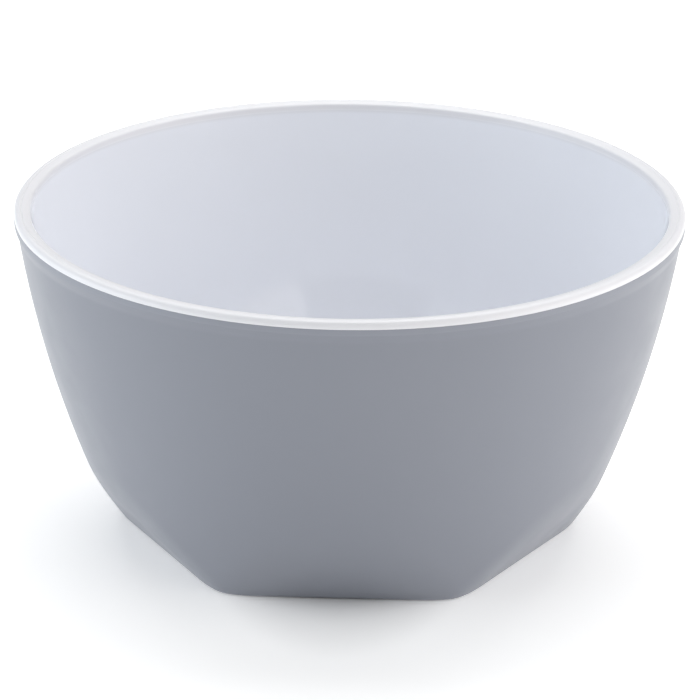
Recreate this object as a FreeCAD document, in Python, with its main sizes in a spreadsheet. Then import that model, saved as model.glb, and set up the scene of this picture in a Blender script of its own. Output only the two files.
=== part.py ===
"""Two-tone serving bowl: a grey outer shell moulded round a white inner liner.

Outside, the bowl is round at the rim and six flat facets cut into it near the
base, so it stands on a six-sided foot.  Inside it is round all the way down.  The
frame is +Z up, millimetres, with the origin at the centre of the base and one
facet facing -Y.
"""
import FreeCAD, Part
import math
import os

import Sketcher

V = FreeCAD.Vector

# An edge whose height changes by less than this, in millimetres, counts as level.
LEVEL = 0.01

# The driving dimensions, in millimetres and degrees: name, value, meaning.
DRIVING = [
    ("rim_radius", 127.0, "widest radius, where the two colours meet"),
    ("seam_height", 126.7, "height of the joint between shell and lip"),
    ("lip_height", 2.75, "how far the white lip stands above the joint"),
    ("wall_top_radius", 125.65, "radius of the wall just under the rim band"),
    ("wall_top_height", 121.0, "height where the wall meets the rim band"),
    ("wall_top_lean", 8.8, "lean of the wall from vertical at that height"),
    ("wall_arc", 430.0, "radius of the arc that the outer wall follows"),
    ("knee_height", 66.0, "height below which the inside wall turns in more tightly"),
    ("low_arc", 155.0, "radius of the inside wall's arc below that height"),
    ("band_height", 2.3, "straight part of the rim band under the joint"),
    ("shell_thickness", 2.9, "thickness of the outer shell's upper wall"),
    ("liner_thickness", 2.9, "wall thickness of the inner liner"),
    ("shell_floor", 4.5, "height of the top of the shell's floor"),
    ("liner_floor", 7.5, "height of the bowl's inside floor"),
    ("facet_apothem", 77.6, "distance from the axis to a facet at the base"),
    ("facet_angle", 52.0, "slope of a facet from horizontal"),
    ("facet_count", 6, "facets round the foot"),
    ("facet_reach", 60.0, "height up to which the facet cutter works"),
    ("facet_blend", 9.0, "radius that softens the arched facet edges"),
    ("base_edge", 4.5, "rounding of the edge round the foot"),
    ("inside_edge", 15.0, "rounding between the inside floor and wall"),
    ("foot_ring", 6.0, "width of the ring that the bowl rests on"),
    ("foot_recess", 1.5, "depth of the hollow under the base"),
    ("lip_outer_round", 2.0, "rounding of the lip's outer edge"),
    ("lip_inner_round", 1.2, "rounding of the lip's inner edge"),
    ("lip_crest", 0.7, "width of the level crest of the lip"),
    ("lip_band_drop", 0.15, "fall of the lip's inner band, per unit of width"),
    ("lip_groove", 0.25, "radius of the fine groove's section, at the crest's end"),
    ("cutter_rise", 10.0, "how far the hollowing forms stand above the lip"),
]

# The values worked out from them: name, formula.
DERIVED = [
    ("wall_centre_x", "=wall_top_radius - wall_arc * cos(wall_top_lean * 1 deg)"),
    ("wall_centre_back", "=0 - wall_centre_x"),
    ("wall_centre_z", "=wall_top_height + wall_arc * sin(wall_top_lean * 1 deg)"),
    ("seat_arc", "=wall_arc - shell_thickness"),
    ("inside_arc", "=seat_arc - liner_thickness"),
    ("seat_low_arc", "=low_arc + liner_thickness"),
    ("seat_edge", "=inside_edge + liner_thickness"),
    ("knee_slope", "=(wall_centre_z - knee_height) / inside_arc"),
    ("seat_knee", "=wall_centre_z - seat_arc * knee_slope"),
    ("lip_top", "=seam_height + lip_height"),
    ("above_lip", "=lip_top + cutter_rise"),
    ("base_plane", "=0"),
    ("groove_x", "=rim_radius - lip_outer_round - lip_crest"),
    ("facet_run", "=facet_reach / tan(facet_angle * 1 deg)"),
    ("recess_radius", "=facet_apothem - base_edge - foot_ring"),
]

doc = FreeCAD.newDocument("TwoToneBowl")
sheet = doc.addObject("Spreadsheet::Sheet", "Dimensions")


def fill_sheet():
    """Write the driving values and the formulas into the sheet, one per row."""
    rows = [(name, str(value), meaning) for name, value, meaning in DRIVING]
    rows += [(name, formula, "worked out") for name, formula in DERIVED]
    for number, (name, content, meaning) in enumerate(rows, start=1):
        sheet.set(f"A{number}", name)
        sheet.set(f"B{number}", content)
        sheet.set(f"C{number}", meaning)
        sheet.setAlias(f"B{number}", name)
    doc.recompute()


def value(alias):
    """The present number in a cell of the sheet."""
    return float(getattr(sheet, alias))


def new_body(name):
    return doc.addObject("PartDesign::Body", name)


def origin_part(body, role):
    """One of the body's own origin planes or axes, by its role."""
    return [item for item in body.Origin.OriginFeatures if item.Role == role][0]


def new_sketch(body, name, plane_role):
    sketch = body.newObject("Sketcher::SketchObject", name)
    sketch.AttachmentSupport = (origin_part(body, plane_role), [""])
    sketch.MapMode = "FlatFace"
    return sketch


def size(sketch, kind, *where, alias):
    """Add a dimension to a sketch and bind it to a cell of the sheet."""
    number = sketch.addConstraint(Sketcher.Constraint(kind, *where, value(alias)))
    sketch.setExpression(f"Constraints[{number}]", f"Dimensions.{alias}")


def draw_round_wall(sketch, floor, top):
    """The outer wall: one arc.  Returns its lowest and its highest curve."""
    centre = V(value("wall_centre_x"), value("wall_centre_z"), 0)
    wall = add_arc(sketch, centre, value("wall_arc"), floor, top)
    place_arc(sketch, wall, "wall_arc")
    return wall, wall


def draw_lining(sketch, floor, top, arc_alias, low_alias, knee_alias):
    """A wall of the lining: the outer wall's arc, then a tighter one below a knee."""
    centre = V(value("wall_centre_x"), value("wall_centre_z"), 0)
    knee = value(knee_alias)
    upper = add_arc(sketch, centre, value(arc_alias), knee, top)
    inward = value(arc_alias) - value(low_alias)
    rise = (centre.y - knee) / value(arc_alias)
    low_centre = centre + V(inward * math.sqrt(1 - rise ** 2), -inward * rise, 0)
    lower = add_arc(sketch, low_centre, value(low_alias), floor, knee)
    place_arc(sketch, upper, arc_alias)
    sketch.addConstraint(Sketcher.Constraint("Tangent", lower, 2, upper, 1))
    size(sketch, "Radius", lower, alias=low_alias)
    size(sketch, "DistanceY", -1, 1, upper, 1, alias=knee_alias)
    return lower, upper


def draw_seat(sketch, floor, top):
    return draw_lining(sketch, floor, top, "seat_arc", "seat_low_arc", "seat_knee")


def draw_inside(sketch, floor, top):
    return draw_lining(sketch, floor, top, "inside_arc", "low_arc", "knee_height")


def add_arc(sketch, centre, radius, low, high):
    """The right-hand part of a circle between two heights below its centre."""
    circle = Part.Circle(centre, V(0, 0, 1), radius)
    start = -math.asin((centre.y - low) / radius)
    end = -math.asin((centre.y - high) / radius)
    return sketch.addGeometry(Part.ArcOfCircle(circle, start, end), False)


def place_arc(sketch, arc, alias):
    """Fix an arc's radius, and its centre at the centre of the outer wall's arc."""
    size(sketch, "Radius", arc, alias=alias)
    size(sketch, "DistanceX", arc, 3, -1, 1, alias="wall_centre_back")
    size(sketch, "DistanceY", -1, 1, arc, 3, alias="wall_centre_z")


def wall_section(body, draw_wall, floor_alias, rim):
    """Half section of a bowl form: floor, wall, then the given rim style.

    The rim style draws the line from the wall's top end to the axis and
    returns the number of its first curve and of its last curve.
    """
    sketch = new_sketch(body, body.Name + "_section", "XZ_Plane")
    floor = value(floor_alias)
    top = value(RIM_START[rim])
    lower, upper = draw_wall(sketch, floor, top)
    foot = sketch.getPoint(lower, 1)
    head = sketch.getPoint(upper, 2)
    floor_line = sketch.addGeometry(Part.LineSegment(V(0, floor, 0), foot), False)
    axis_line = sketch.addGeometry(Part.LineSegment(V(0, top, 0), V(0, floor, 0)), False)
    join = Sketcher.Constraint
    sketch.addConstraint(join("Coincident", floor_line, 2, lower, 1))
    sketch.addConstraint(join("Coincident", axis_line, 2, floor_line, 1))
    sketch.addConstraint(join("Horizontal", floor_line))
    sketch.addConstraint(join("PointOnObject", axis_line, 1, -2))
    sketch.addConstraint(join("PointOnObject", axis_line, 2, -2))
    if floor_alias == "base_plane":
        sketch.addConstraint(join("PointOnObject", floor_line, 1, -1))
    else:
        size(sketch, "DistanceY", -1, 1, floor_line, 1, alias=floor_alias)
    size(sketch, "DistanceY", -1, 1, upper, 2, alias=RIM_START[rim])
    first, last = RIM_STYLES[rim](sketch, head)
    sketch.addConstraint(join("Coincident", first, 1, upper, 2))
    sketch.addConstraint(join("Coincident", last, 2, axis_line, 1))
    return sketch


def plain_rim(sketch, head):
    """A level line from the wall to the axis."""
    line = sketch.addGeometry(Part.LineSegment(head, V(0, head.y, 0)), False)
    sketch.addConstraint(Sketcher.Constraint("Horizontal", line))
    return line, line


def banded_rim(sketch, head):
    """The shell's rim: the wall flares into an upright band under the joint."""
    join = Sketcher.Constraint
    rim = value("rim_radius")
    seam = value("seam_height")
    band = seam - value("band_height")
    points = [head, V(rim, band, 0), V(rim, seam, 0), V(0, seam, 0)]
    flare, upright, level = chain(sketch, points)
    sketch.addConstraint(join("Vertical", upright))
    sketch.addConstraint(join("Horizontal", level))
    size(sketch, "DistanceX", -1, 1, upright, 1, alias="rim_radius")
    size(sketch, "DistanceY", upright, 1, upright, 2, alias="band_height")
    size(sketch, "DistanceY", -1, 1, upright, 2, alias="seam_height")
    return flare, level


def lipped_rim(sketch, head):
    """The liner's lip: out over the shell, up, round, along a crest and in."""
    join = Sketcher.Constraint
    rim = value("rim_radius")
    seam = value("seam_height")
    top = value("lip_top")
    corner = value("lip_outer_round")
    crest_end = value("groove_x")
    fall = crest_end * value("lip_band_drop")
    points = [head, V(rim, seam, 0), V(rim, top - corner, 0)]
    ledge, side = chain(sketch, points)
    centre = V(rim - corner, top - corner, 0)
    quarter = Part.ArcOfCircle(Part.Circle(centre, V(0, 0, 1), corner), 0, math.pi / 2)
    edge = sketch.addGeometry(quarter, False)
    crest, band = chain(sketch, [V(rim - corner, top, 0), V(crest_end, top, 0), V(0, top - fall, 0)])
    sketch.addConstraint(join("Horizontal", ledge))
    sketch.addConstraint(join("Vertical", side))
    sketch.addConstraint(join("Tangent", side, 2, edge, 1))
    sketch.addConstraint(join("Tangent", edge, 2, crest, 1))
    sketch.addConstraint(join("Horizontal", crest))
    size(sketch, "Radius", edge, alias="lip_outer_round")
    size(sketch, "DistanceX", -1, 1, side, 1, alias="rim_radius")
    size(sketch, "DistanceY", -1, 1, crest, 1, alias="lip_top")
    size(sketch, "DistanceX", -1, 1, crest, 2, alias="groove_x")
    drop = sketch.addConstraint(join("DistanceY", band, 2, band, 1, fall))
    formula = "Dimensions.groove_x * Dimensions.lip_band_drop"
    sketch.setExpression(f"Constraints[{drop}]", formula)
    return ledge, band


def chain(sketch, points):
    """Straight lines through the points, joined end to end."""
    lines = []
    for start, end in zip(points, points[1:]):
        lines.append(sketch.addGeometry(Part.LineSegment(start, end), False))
    for before, after in zip(lines, lines[1:]):
        sketch.addConstraint(Sketcher.Constraint("Coincident", before, 2, after, 1))
    return lines


RIM_STYLES = {"plain": plain_rim, "banded": banded_rim, "lipped": lipped_rim}
RIM_START = {"plain": "above_lip", "banded": "wall_top_height", "lipped": "seam_height"}


def revolve(body, sketch):
    turn = body.newObject("PartDesign::Revolution", body.Name + "_turned")
    turn.Profile = sketch
    turn.ReferenceAxis = (sketch, ["V_Axis"])
    turn.Angle = 360
    doc.recompute()
    return turn


def cut_facets(body):
    """Cut the facets round the foot: one sloping pocket, repeated about Z."""
    join = Sketcher.Constraint
    sketch = new_sketch(body, body.Name + "_facet", "YZ_Plane")
    apothem = value("facet_apothem")
    reach = value("facet_reach")
    top_y = -(apothem + value("facet_run"))
    points = [V(-apothem, 0, 0), V(top_y, reach, 0), V(top_y, -reach, 0), V(-apothem, -reach, 0)]
    slope, outer, under, drop = chain(sketch, points + points[:1])
    sketch.addConstraint(join("Coincident", drop, 2, slope, 1))
    sketch.addConstraint(join("PointOnObject", slope, 1, -1))
    sketch.addConstraint(join("Vertical", outer))
    sketch.addConstraint(join("Horizontal", under))
    sketch.addConstraint(join("Vertical", drop))
    size(sketch, "DistanceX", slope, 1, -1, 1, alias="facet_apothem")
    size(sketch, "DistanceY", -1, 1, slope, 2, alias="facet_reach")
    size(sketch, "DistanceY", drop, 1, drop, 2, alias="facet_reach")
    size(sketch, "DistanceX", slope, 2, slope, 1, alias="facet_run")
    before = body.Tip.Shape.Volume
    pocket = body.newObject("PartDesign::Pocket", body.Name + "_facet_cut")
    pocket.Profile = sketch
    pocket.Type = "Length"
    pocket.SideType = "Symmetric"
    pocket.setExpression("Length", "2 * Dimensions.rim_radius")
    doc.recompute()
    if not pocket.Shape.Volume < before:
        raise RuntimeError(body.Name + ": the facet pocket cut nothing")
    ring = body.newObject("PartDesign::PolarPattern", body.Name + "_facets")
    ring.Originals = [pocket]
    ring.Axis = (sketch, ["V_Axis"])
    ring.Angle = 360
    ring.setExpression("Occurrences", "Dimensions.facet_count")
    body.Tip = ring
    doc.recompute()
    return ring


def round_edges(body, base, name, radius_alias, chosen):
    """Fillet the edges of the base feature that the test picks."""
    names = []
    for number, edge in enumerate(base.Shape.Edges, start=1):
        if chosen(edge):
            names.append(f"Edge{number}")
    if not names:
        raise RuntimeError(f"{body.Name}: no edge found for {name}")
    fillet = body.newObject("PartDesign::Fillet", f"{body.Name}_{name}")
    fillet.Base = (base, names)
    fillet.setExpression("Radius", "Dimensions." + radius_alias)
    doc.recompute()
    return fillet


def is_arch(edge):
    """A facet's arched upper edge: it rises well off the floor, low on the wall."""
    box = edge.BoundBox
    curved = edge.Curve.TypeId != "Part::GeomLine"
    return curved and box.ZLength > value("facet_blend") and box.ZMax < value("facet_reach")


def lies_at(height):
    """A test for edges that lie flat at this height."""
    return lambda edge: max(abs(edge.BoundBox.ZMin - height), edge.BoundBox.ZLength) < LEVEL


def bowl_form(name, draw_wall, floor_alias, rim):
    """A solid, turned bowl form."""
    body = new_body(name)
    turn = revolve(body, wall_section(body, draw_wall, floor_alias, rim))
    return body, turn


def hollow(body, tool):
    """Subtract another body from this one."""
    before = body.Tip.Shape.Volume
    cut = body.newObject("PartDesign::Boolean", body.Name + "_hollow")
    cut.Type = "Cut"
    cut.setObjects([tool])
    body.Tip = cut
    doc.recompute()
    if not cut.Shape.Volume < before:
        raise RuntimeError(body.Name + ": hollowing removed nothing")
    return cut


def recess_base(body):
    """The shallow round hollow inside the ring that the bowl stands on."""
    sketch = new_sketch(body, body.Name + "_recess", "XY_Plane")
    circle = sketch.addGeometry(Part.Circle(V(0, 0, 0), V(0, 0, 1), value("recess_radius")), False)
    sketch.addConstraint(Sketcher.Constraint("Coincident", circle, 3, -1, 1))
    size(sketch, "Radius", circle, alias="recess_radius")
    before = body.Tip.Shape.Volume
    pocket = body.newObject("PartDesign::Pocket", body.Name + "_recess_cut")
    pocket.Profile = sketch
    pocket.Type = "Length"
    pocket.Reversed = True
    pocket.setExpression("Length", "Dimensions.foot_recess")
    doc.recompute()
    if not pocket.Shape.Volume < before:
        raise RuntimeError("the base recess cut nothing")
    return pocket


def make_outer_shell():
    """Grey shell: faceted outside, rim band, foot ring, and a seat for the liner."""
    body, _ = bowl_form("outer_shell", draw_round_wall, "base_plane", "banded")
    ring = cut_facets(body)
    arches = round_edges(body, ring, "arch_blend", "facet_blend", is_arch)
    round_edges(body, arches, "base_round", "base_edge", lies_at(0.0))
    recess_base(body)
    seat, turn = bowl_form("liner_seat", draw_seat, "shell_floor", "plain")
    round_edges(seat, turn, "floor_round", "seat_edge", lies_at(value("shell_floor")))
    hollow(body, seat)
    return body


def groove_lip(body):
    """The fine groove between the lip's crest and its inner band."""
    sketch = new_sketch(body, body.Name + "_groove", "XZ_Plane")
    centre = V(value("groove_x"), value("lip_top"), 0)
    circle = sketch.addGeometry(Part.Circle(centre, V(0, 0, 1), value("lip_groove")), False)
    size(sketch, "Radius", circle, alias="lip_groove")
    size(sketch, "DistanceX", -1, 1, circle, 3, alias="groove_x")
    size(sketch, "DistanceY", -1, 1, circle, 3, alias="lip_top")
    before = body.Tip.Shape.Volume
    groove = body.newObject("PartDesign::Groove", body.Name + "_groove_cut")
    groove.Profile = sketch
    groove.ReferenceAxis = (sketch, ["V_Axis"])
    groove.Angle = 360
    doc.recompute()
    if not groove.Shape.Volume < before:
        raise RuntimeError("the lip groove cut nothing")
    return groove


def make_inner_liner():
    """White liner: fits the shell's seat and wraps over its rim as a lip."""
    body, turn = bowl_form("inner_liner", draw_seat, "shell_floor", "lipped")
    round_edges(body, turn, "floor_round", "seat_edge", lies_at(value("shell_floor")))
    groove_lip(body)
    inside, turn = bowl_form("bowl_inside", draw_inside, "liner_floor", "plain")
    round_edges(inside, turn, "floor_round", "inside_edge", lies_at(value("liner_floor")))
    cut = hollow(body, inside)
    half_lip = value("seam_height") + value("lip_height") / 2
    inside_groove = value("groove_x") - 2 * value("lip_groove")

    def is_lip_inner_edge(edge):
        box = edge.BoundBox
        return box.ZLength < LEVEL and box.ZMin > half_lip and box.XMax < inside_groove

    round_edges(body, cut, "lip_round", "lip_inner_round", is_lip_inner_edge)
    return body


def check_document(pieces):
    """Stop if any object failed or any piece is not a sound single solid."""
    for item in doc.Objects:
        bad = [word for word in item.State if word in ("Invalid", "Error")]
        if bad:
            raise RuntimeError(f"{item.Label}: {', '.join(bad)}")
    for piece in pieces:
        shape = piece.Shape
        if shape.isNull() or not shape.isValid() or len(shape.Solids) != 1:
            raise RuntimeError(f"{piece.Label}: its shape is not one valid solid")


fill_sheet()
pieces = [make_outer_shell(), make_inner_liner()]
for piece in pieces:
    piece.Label = piece.Name
    piece.Placement = FreeCAD.Placement(V(0, 0, 0), FreeCAD.Rotation())
doc.recompute()
check_document(pieces)

os.makedirs("parts", exist_ok=True)
for piece in pieces:
    piece.Shape.exportStep(f"parts/{piece.Label}.step")
    box = piece.Shape.optimalBoundingBox()
    print(f"{piece.Label}: {piece.Shape.Volume / 1000:.1f} cm3, "
          f"{box.XLength:.2f} x {box.YLength:.2f} x {box.ZLength:.2f} mm")
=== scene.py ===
"""Two-tone serving bowl: finished meshes, materials, light and camera."""
import math

import bpy
from mathutils import Matrix, Vector


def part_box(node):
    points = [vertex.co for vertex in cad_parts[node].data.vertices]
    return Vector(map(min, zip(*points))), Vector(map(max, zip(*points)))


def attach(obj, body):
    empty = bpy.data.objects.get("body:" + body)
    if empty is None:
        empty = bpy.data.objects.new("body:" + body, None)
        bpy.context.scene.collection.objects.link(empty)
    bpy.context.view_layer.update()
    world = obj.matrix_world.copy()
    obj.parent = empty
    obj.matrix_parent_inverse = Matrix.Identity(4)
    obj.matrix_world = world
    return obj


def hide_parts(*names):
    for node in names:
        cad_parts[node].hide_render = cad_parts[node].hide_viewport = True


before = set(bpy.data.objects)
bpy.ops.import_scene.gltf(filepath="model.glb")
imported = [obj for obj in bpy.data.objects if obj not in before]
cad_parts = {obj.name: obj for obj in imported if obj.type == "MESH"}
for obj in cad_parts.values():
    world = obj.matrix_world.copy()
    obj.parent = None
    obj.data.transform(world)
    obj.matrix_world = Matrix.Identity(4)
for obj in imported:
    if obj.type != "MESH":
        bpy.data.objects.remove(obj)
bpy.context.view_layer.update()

MM = 0.001

# ------------------------------------------------------------------ the frame
SHELL_LOW, SHELL_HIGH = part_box("outer_shell")
LINER_LOW, LINER_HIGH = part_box("inner_liner")
RIM = SHELL_HIGH[0]
SEAM = SHELL_HIGH[2]
LIP_TOP = LINER_HIGH[2]
BASE = SHELL_LOW[2]
SEAT_FLOOR = LINER_LOW[2]

# ------------------------------------------------------- sizes of the design
WALL_TOP = 121.0 * MM
WALL_TOP_RADIUS = 125.65 * MM
WALL_TOP_LEAN = math.radians(8.8)
WALL_ARC = 430.0 * MM
SHELL_THICKNESS = 2.9 * MM
LINER_THICKNESS = 2.9 * MM
LINER_FLOOR = 7.5 * MM
FACETS = 6
FACET_APOTHEM = 77.6 * MM
FACET_ANGLE = math.radians(52.0)
BAND_HEIGHT = 2.3 * MM
LIP_ROUND = 2.0 * MM
LIP_CREST = 0.7 * MM
LIP_BAND_DROP = 0.15
BASE_EDGE = 4.5 * MM
INSIDE_EDGE = 15.0 * MM
KNEE = 66.0 * MM
LOW_ARC = 155.0 * MM
RECESS_RADIUS = 67.1 * MM
RECESS_DEPTH = 1.5 * MM

# How softly a facet runs into the round wall, and the gap between the pieces.
FACET_BLEND = 4.5 * MM
SEAT_GAP = 0.03 * MM

# Small details of the lip, the rim band and the recess under the base.
LIP_INNER_ROUND = 1.2 * MM
GROOVE_HALF_WIDTH = 0.4 * MM
GROOVE_DEPTH = 0.2 * MM
GROOVE_ROUNDS = [0.3 * MM, 0.25 * MM, 0.3 * MM]
BAND_SHOULDER_ROUND = 8 * MM
BAND_EDGE_ROUND = 1.6 * MM
SHARP_EDGE_ROUND = 0.12 * MM
RECESS_EDGE_ROUND = 0.5 * MM

# How finely the meshes are divided: directions round the bowl, rows up a wall
# that shows and one that doesn't, and the small disc that closes each end.
TURNS = 60 * FACETS
OPEN_ROWS = 90
HIDDEN_ROWS = 30
HUB_RADIUS = 4 * MM

WALL_CENTRE_X = WALL_TOP_RADIUS - WALL_ARC * math.cos(WALL_TOP_LEAN)
WALL_CENTRE_Z = WALL_TOP + WALL_ARC * math.sin(WALL_TOP_LEAN)
INSIDE_ARC = WALL_ARC - SHELL_THICKNESS - LINER_THICKNESS
KNEE_LEAN = math.asin((WALL_CENTRE_Z - KNEE) / INSIDE_ARC)
LOW_CENTRE_X = WALL_CENTRE_X + (INSIDE_ARC - LOW_ARC) * math.cos(KNEE_LEAN)
LOW_CENTRE_Z = WALL_CENTRE_Z - (INSIDE_ARC - LOW_ARC) * math.sin(KNEE_LEAN)


# ---------------------------------------------------------------- the shape
def outer_radius(height):
    """Radius of the round outer wall at a height."""
    return WALL_CENTRE_X + math.sqrt(WALL_ARC ** 2 - (WALL_CENTRE_Z - height) ** 2)


def lining_radius(height, outward=0.0):
    """Radius of the bowl's inside wall, or of a surface this far outside it."""
    if height > KNEE - outward * math.sin(KNEE_LEAN):
        reach = INSIDE_ARC + outward
        return WALL_CENTRE_X + math.sqrt(reach ** 2 - (WALL_CENTRE_Z - height) ** 2)
    reach = LOW_ARC + outward
    return LOW_CENTRE_X + math.sqrt(reach ** 2 - (LOW_CENTRE_Z - height) ** 2)


def soft_min(a, b, blend):
    """The smaller of two values, with a rounded change-over."""
    mix = min(max(0.5 + 0.5 * (b - a) / blend, 0.0), 1.0)
    return b * (1 - mix) + a * mix - blend * mix * (1 - mix)


def shell_radius(angle, height):
    """Radius of the faceted outer wall in one direction at one height."""
    radius = outer_radius(height)
    apothem = FACET_APOTHEM + height / math.tan(FACET_ANGLE)
    for number in range(FACETS):
        facing = -math.pi / 2 + number * 2 * math.pi / FACETS
        along = math.cos(angle - facing)
        if along > 0.3:
            radius = soft_min(radius, apothem / along, FACET_BLEND)
    return radius


def rounded(points, radii, steps=6):
    """A run of (radius, height) points with its inner corners rounded."""
    run = [points[0]]
    for before, corner, after, radius in zip(points, points[1:], points[2:], radii):
        here = Vector(corner)
        back = (Vector(before) - here).normalized()
        ahead = (Vector(after) - here).normalized()
        half_turn = (math.pi - back.angle(ahead)) / 2
        reach = radius * math.tan(half_turn)
        centre = here + (back + ahead).normalized() * (radius / math.cos(half_turn))
        start = here + back * reach - centre
        end = here + ahead * reach - centre
        turn = start.angle(end)
        for step in range(steps + 1):
            share = step / steps
            spoke = (start * math.sin((1 - share) * turn) + end * math.sin(share * turn))
            run.append(tuple(centre + spoke / math.sin(turn)))
    run.append(points[-1])
    return run


def angles():
    return [-math.pi / 2 + 2 * math.pi * turn / TURNS for turn in range(TURNS)]


def level_rings(run):
    """Plain round rings, one for each (radius, height) point."""
    return [[(radius * math.cos(a), radius * math.sin(a), height) for a in angles()]
            for radius, height in run]


def wall_column(wall, floor, top, edge, rows):
    """(radius, height) points up a wall from its rounded foot to its top."""
    edge_steps = 10
    probe = 1.0 * MM
    slope = math.atan2(probe, wall(floor + probe) - wall(floor))
    reach = edge * math.tan(slope / 2)
    column = []
    for step in range(edge_steps + 1):
        turn = slope * step / edge_steps
        column.append((wall(floor) - reach + edge * math.sin(turn),
                       floor + edge * (1 - math.cos(turn))))
    start = column[-1][1]
    slip = column[-1][0] - wall(start)
    for row in range(1, rows + 1):
        share = row / rows
        height = start + (top - start) * share
        column.append((wall(height) + slip * (1 - share) ** 6, height))
    return column


def faceted_rings(top, rows):
    """Rings up the faceted outer wall, each direction with its own profile."""
    columns = []
    for angle in angles():
        column = wall_column(lambda height: shell_radius(angle, height),
                             BASE, top, BASE_EDGE, rows)
        columns.append([(radius * math.cos(angle), radius * math.sin(angle), height)
                        for radius, height in column])
    return [list(ring) for ring in zip(*columns)]


def disc_rings(outer_ring, inner_radius, steps):
    """Rings that shrink from a ring of any outline to a circle, at its height."""
    rings = []
    for step in range(1, steps + 1):
        share = step / steps
        ring = []
        for (x, y, z), angle in zip(outer_ring, angles()):
            radius = math.hypot(x, y) * (1 - share) + inner_radius * share
            ring.append((radius * math.cos(angle), radius * math.sin(angle), z))
        rings.append(ring)
    return rings


def skin(name, rings):
    """A closed mesh through the rings; its first and last ring close to a point."""
    points = [point for ring in rings for point in ring]
    faces = []
    for row in range(len(rings) - 1):
        for turn in range(TURNS):
            after = (turn + 1) % TURNS
            a = row * TURNS
            b = a + TURNS
            faces.append((a + turn, a + after, b + after, b + turn))
    for ring, last in ((0, False), (len(rings) - 1, True)):
        hub = len(points)
        points.append((0.0, 0.0, rings[ring][0][2]))
        start = ring * TURNS
        for turn in range(TURNS):
            after = (turn + 1) % TURNS
            if last:
                faces.append((start + turn, start + after, hub))
            else:
                faces.append((start + after, start + turn, hub))
    mesh = bpy.data.meshes.new(name)
    mesh.from_pydata(points, [], faces)
    mesh.update()
    mesh.shade_smooth()
    piece = bpy.data.objects.new(name, mesh)
    bpy.context.scene.collection.objects.link(piece)
    return piece


# ---------------------------------------------------------------- the pieces
def make_shell():
    """The grey outside, its rim band, the foot and the seat for the liner."""
    wall_end = WALL_TOP - 6 * MM
    wall = faceted_rings(wall_end, OPEN_ROWS)
    recess = rounded([(RECESS_RADIUS + 1 * MM, BASE),
                      (RECESS_RADIUS, BASE),
                      (RECESS_RADIUS - RECESS_DEPTH / 2, BASE + RECESS_DEPTH),
                      (RECESS_RADIUS * 0.9, BASE + RECESS_DEPTH)],
                     [RECESS_EDGE_ROUND, RECESS_EDGE_ROUND], 4)
    recess += [(RECESS_RADIUS * share, BASE + RECESS_DEPTH) for share in (0.6, 0.3, 0.05)]
    foot = disc_rings(wall[0], RECESS_RADIUS + 2 * MM, 3)
    rim = rounded([(outer_radius(wall_end + 0.5 * MM), wall_end + 0.5 * MM),
                   (WALL_TOP_RADIUS, WALL_TOP),
                   (RIM, SEAM - BAND_HEIGHT),
                   (RIM, SEAM),
                   (lining_radius(SEAM, LINER_THICKNESS), SEAM),
                   (lining_radius(wall_end, LINER_THICKNESS), wall_end)],
                  [BAND_SHOULDER_ROUND, BAND_EDGE_ROUND, SHARP_EDGE_ROUND, SHARP_EDGE_ROUND])
    seat = wall_column(lambda height: lining_radius(height, LINER_THICKNESS), SEAT_FLOOR,
                       wall_end - 0.5 * MM, INSIDE_EDGE, HIDDEN_ROWS)
    seat = level_rings(seat)
    seat_floor = disc_rings(seat[0], HUB_RADIUS, 3)
    rings = level_rings(recess)[::-1] + foot[::-1] + wall + level_rings(rim)
    rings += seat[::-1] + seat_floor
    shell = skin("outer_shell_skin", rings)
    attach(shell, "root")
    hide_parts("outer_shell")
    return shell


def make_liner():
    """The white inside with its lip, which closes over the top of the shell."""
    groove = RIM - LIP_ROUND - LIP_CREST
    wall_end = SEAM - 3 * MM
    band_low = LIP_TOP - LIP_BAND_DROP * (groove - lining_radius(LIP_TOP))
    back = LINER_THICKNESS - SEAT_GAP
    lip = rounded([(lining_radius(wall_end + 0.5 * MM), wall_end + 0.5 * MM),
                   (lining_radius(LIP_TOP), band_low),
                   (groove - GROOVE_HALF_WIDTH, LIP_TOP - LIP_BAND_DROP * GROOVE_HALF_WIDTH),
                   (groove, LIP_TOP - GROOVE_DEPTH),
                   (groove + GROOVE_HALF_WIDTH, LIP_TOP),
                   (RIM, LIP_TOP),
                   (RIM, SEAM + SEAT_GAP),
                   (lining_radius(SEAM, back), SEAM + SEAT_GAP),
                   (lining_radius(wall_end, back), wall_end)],
                  [LIP_INNER_ROUND] + GROOVE_ROUNDS
                  + [LIP_ROUND, SHARP_EDGE_ROUND, SHARP_EDGE_ROUND])
    inside = wall_column(lining_radius, LINER_FLOOR, wall_end, INSIDE_EDGE, OPEN_ROWS)
    inside = level_rings(inside)
    floor = disc_rings(inside[0], HUB_RADIUS, 8)
    outside = wall_column(lambda height: lining_radius(height, back), SEAT_FLOOR + SEAT_GAP,
                          wall_end - 0.5 * MM, INSIDE_EDGE, HIDDEN_ROWS)
    outside = level_rings(outside)
    underside = disc_rings(outside[0], HUB_RADIUS, 3)
    rings = floor[::-1] + inside + level_rings(lip) + outside[::-1] + underside
    liner = skin("inner_liner_skin", rings[::-1])
    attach(liner, "root")
    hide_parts("inner_liner")
    return liner


# ------------------------------------------------------------- the materials
def new_material(name):
    material = bpy.data.materials.new(name)
    material.use_nodes = True
    nodes = material.node_tree.nodes
    shader = nodes["Principled BSDF"]
    return material, nodes, material.node_tree.links, shader


def add_noise(nodes, links, coordinates, scale, detail):
    noise = nodes.new("ShaderNodeTexNoise")
    noise.inputs["Scale"].default_value = scale
    noise.inputs["Detail"].default_value = detail
    links.new(coordinates.outputs["Object"], noise.inputs["Vector"])
    return noise


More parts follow.
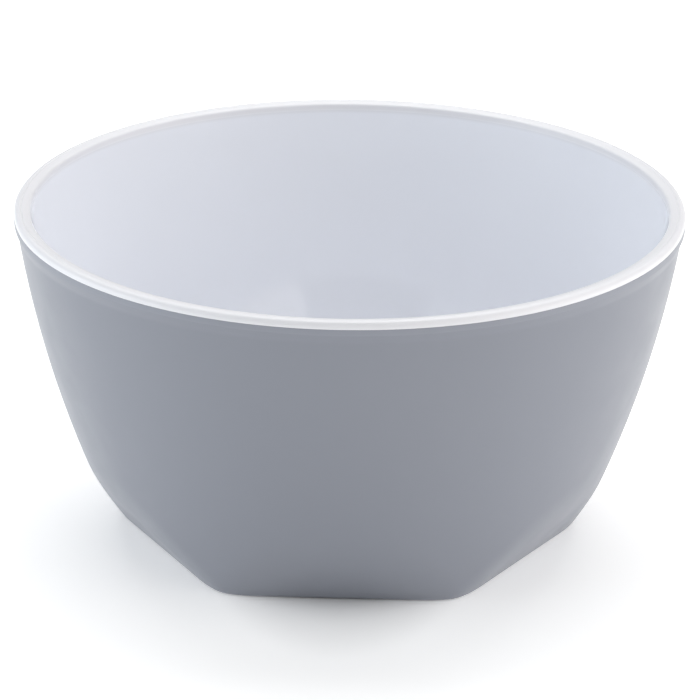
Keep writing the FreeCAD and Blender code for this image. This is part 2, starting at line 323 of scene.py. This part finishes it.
def add_ramp(nodes, links, source, low, high):
    """Turn a noise into a value between two limits."""
    ramp = nodes.new("ShaderNodeMapRange")
    ramp.inputs["From Min"].default_value = 0.35
    ramp.inputs["From Max"].default_value = 0.65
    ramp.inputs["To Min"].default_value = low
    ramp.inputs["To Max"].default_value = high
    links.new(source.outputs["Fac"], ramp.inputs["Value"])
    return ramp


def moulded_melamine(name, colour, drift, roughness, spread, bump):
    """Moulded melamine: slight colour drift, uneven gloss and a faint ripple."""
    material, nodes, links, shader = new_material(name)
    coordinates = nodes.new("ShaderNodeTexCoord")
    tone = add_noise(nodes, links, coordinates, 14.0, 2.0)
    shade = nodes.new("ShaderNodeMix")
    shade.data_type = "RGBA"
    darker = tuple(channel * (1 - drift) for channel in colour)
    lighter = tuple(min(channel * (1 + drift), 1) for channel in colour)
    shade.inputs["A"].default_value = darker + (1,)
    shade.inputs["B"].default_value = lighter + (1,)
    links.new(tone.outputs["Fac"], shade.inputs["Factor"])
    links.new(shade.outputs["Result"], shader.inputs["Base Color"])
    polish = add_noise(nodes, links, coordinates, 55.0, 3.0)
    gloss = add_ramp(nodes, links, polish, roughness - spread, roughness + spread)
    links.new(gloss.outputs["Result"], shader.inputs["Roughness"])
    ripple = add_noise(nodes, links, coordinates, 900.0, 2.0)
    relief = nodes.new("ShaderNodeBump")
    relief.inputs["Strength"].default_value = bump
    relief.inputs["Distance"].default_value = 0.05 * MM
    links.new(ripple.outputs["Fac"], relief.inputs["Height"])
    links.new(relief.outputs["Normal"], shader.inputs["Normal"])
    return material, shader


def shell_material():
    """Satin grey, with painted light making the rim band slightly paler."""
    material, shader = moulded_melamine("satin_grey_melamine", (0.235, 0.249, 0.288),
                                        0.015, 0.36, 0.03, 0.25)
    shader.inputs["IOR"].default_value = 1.44
    band_low = SEAM - BAND_HEIGHT
    # Painted light: the shell is made paler from the lower edge of the rim band up.
    gloss_and_painted_light_above(material, shader, band_low - 0.2 * MM, band_low + 0.2 * MM,
                 (0.268, 0.283, 0.326), 0.36)
    return material


def liner_material():
    """Glossy white inside, with a duller lip, and painted shade that makes the lip slightly
    darker and warmer.
    """
    material, shader = moulded_melamine("gloss_white_melamine", (0.825, 0.843, 0.895),
                                        0.008, 0.075, 0.015, 0.06)
    shader.inputs["IOR"].default_value = 1.55
    # Painted shade: the lip's colour is darker and warmer than the white below; its higher
    # roughness is real.
    gloss_and_painted_light_above(material, shader, SEAM - 1.5 * MM, SEAM + 0.5 * MM,
                 (0.762, 0.764, 0.795), 0.38)
    return material


def gloss_and_painted_light_above(material, shader, low, high, colour, roughness):
    """Change to another roughness and another colour between two heights; the colour is painted
    light on the shell's rim band and painted shade on the liner's lip.
    """
    nodes = material.node_tree.nodes
    links = material.node_tree.links
    coordinates = nodes.new("ShaderNodeTexCoord")
    split = nodes.new("ShaderNodeSeparateXYZ")
    links.new(coordinates.outputs["Object"], split.inputs["Vector"])
    change = nodes.new("ShaderNodeMapRange")
    change.inputs["From Min"].default_value = low
    change.inputs["From Max"].default_value = high
    links.new(split.outputs["Z"], change.inputs["Value"])
    lower_colour = shader.inputs["Base Color"].links[0].from_socket
    # This colour mix is the painted light or painted shade above the lower height; the roughness
    # mix below is real.
    shade = nodes.new("ShaderNodeMix")
    shade.data_type = "RGBA"
    links.new(change.outputs["Result"], shade.inputs["Factor"])
    links.new(lower_colour, shade.inputs["A"])
    shade.inputs["B"].default_value = colour + (1,)
    links.new(shade.outputs["Result"], shader.inputs["Base Color"])
    lower_gloss = shader.inputs["Roughness"].links[0].from_socket
    gloss = nodes.new("ShaderNodeMix")
    links.new(change.outputs["Result"], gloss.inputs["Factor"])
    links.new(lower_gloss, gloss.inputs["A"])
    gloss.inputs["B"].default_value = roughness
    links.new(gloss.outputs["Result"], shader.inputs["Roughness"])


def floor_material():
    """Pale, with a painted glow from within that is less in a strip under the bowl, front to
    back, which paints a shadow there.
    """
    material, nodes, links, shader = new_material("pale_studio_floor")
    shader.inputs["Base Color"].default_value = (0.95, 0.95, 0.95, 1)
    shader.inputs["Roughness"].default_value = 0.7
    shader.inputs["Emission Color"].default_value = (1, 1, 1, 1)
    coordinates = nodes.new("ShaderNodeTexCoord")
    strip = nodes.new("ShaderNodeVectorMath")
    strip.operation = "MULTIPLY"
    strip.inputs[1].default_value = (2.3, 1.0, 1.0)
    links.new(coordinates.outputs["Object"], strip.inputs[0])
    distance = nodes.new("ShaderNodeVectorMath")
    distance.operation = "LENGTH"
    links.new(strip.outputs["Vector"], distance.inputs[0])
    # Painted light and shadow: the floor glows, less close to the bowl along the front-to-back
    # strip.
    painted_glow = nodes.new("ShaderNodeMapRange")
    painted_glow.inputs["From Min"].default_value = 0.08
    painted_glow.inputs["From Max"].default_value = 0.13
    painted_glow.inputs["To Min"].default_value = 0.0
    painted_glow.inputs["To Max"].default_value = 0.3
    links.new(distance.outputs["Value"], painted_glow.inputs["Value"])
    links.new(painted_glow.outputs["Result"], shader.inputs["Emission Strength"])
    return material


# ------------------------------------------------------- floor, light, camera
def make_floor():
    """A square floor, 6 m across, that the bowl stands on."""
    half = 3.0
    mesh = bpy.data.meshes.new("studio_floor")
    corners = [(-half, -half, BASE), (half, -half, BASE), (half, half, BASE), (-half, half, BASE)]
    mesh.from_pydata(corners, [], [(0, 1, 2, 3)])
    mesh.materials.append(floor_material())
    floor = bpy.data.objects.new("studio_floor", mesh)
    bpy.context.scene.collection.objects.link(floor)


def add_softbox(name, place, width, height, power, colour):
    """A soft rectangular light, turned to the middle of the bowl."""
    middle = Vector((0, 0, SEAM / 2))
    data = bpy.data.lights.new(name, "AREA")
    data.shape = "RECTANGLE"
    data.size = width
    data.size_y = height
    data.energy = power
    data.color = colour
    lamp = bpy.data.objects.new(name, data)
    lamp.location = place
    lamp.rotation_euler = (middle - Vector(place)).to_track_quat("-Z", "Y").to_euler()
    bpy.context.scene.collection.objects.link(lamp)


def light_studio():
    """White surroundings, a top light, and a high and a low light on each side."""
    world = bpy.data.worlds.new("studio")
    bpy.context.scene.world = world
    world.use_nodes = True
    background = world.node_tree.nodes["Background"]
    background.inputs["Color"].default_value = (1, 1, 1, 1)
    background.inputs["Strength"].default_value = 0.25
    white = (1.0, 1.0, 1.0)
    cool = (0.91, 0.965, 1.0)
    warm = (1.0, 0.975, 0.95)
    add_softbox("top_softbox", (0, 0.75, 1.5), 2.0, 1.4, 23.0, white)
    add_softbox("left_softbox", (-1.33, -0.78, 1.2), 1.6, 1.5, 6.6, cool)
    add_softbox("right_softbox", (1.21, -0.96, 1.2), 1.9, 1.5, 11.0, warm)
    add_softbox("left_low_softbox", (-1.3, -0.15, 0.28), 1.3, 0.52, 6.3, cool)
    add_softbox("right_low_softbox", (1.3, -0.15, 0.28), 1.3, 0.52, 6.1, warm)


def place_camera():
    """A long lens, a little above the rim, turned just off the front facet."""
    focal_widths = 6.457
    distance = 13.65 * RIM
    elevation = math.radians(21.34)
    azimuth = math.radians(2.1)
    roll = math.radians(0.55)
    aim = Vector((0.0043 * RIM, 0, 0.5485 * RIM))
    away = Vector((math.sin(azimuth) * math.cos(elevation),
                   -math.cos(azimuth) * math.cos(elevation),
                   math.sin(elevation)))
    data = bpy.data.cameras.new("camera")
    data.sensor_width = 36.0
    data.lens = data.sensor_width * focal_widths
    camera = bpy.data.objects.new("camera", data)
    camera.location = aim + away * distance
    facing = (-away).to_track_quat("-Z", "Y").to_matrix()
    camera.rotation_euler = (facing @ Matrix.Rotation(roll, 3, "Z")).to_euler()
    bpy.context.scene.collection.objects.link(camera)
    bpy.context.scene.camera = camera


make_shell().data.materials.append(shell_material())
make_liner().data.materials.append(liner_material())
make_floor()
light_studio()
place_camera()
bpy.context.scene.view_settings.view_transform = "Standard"
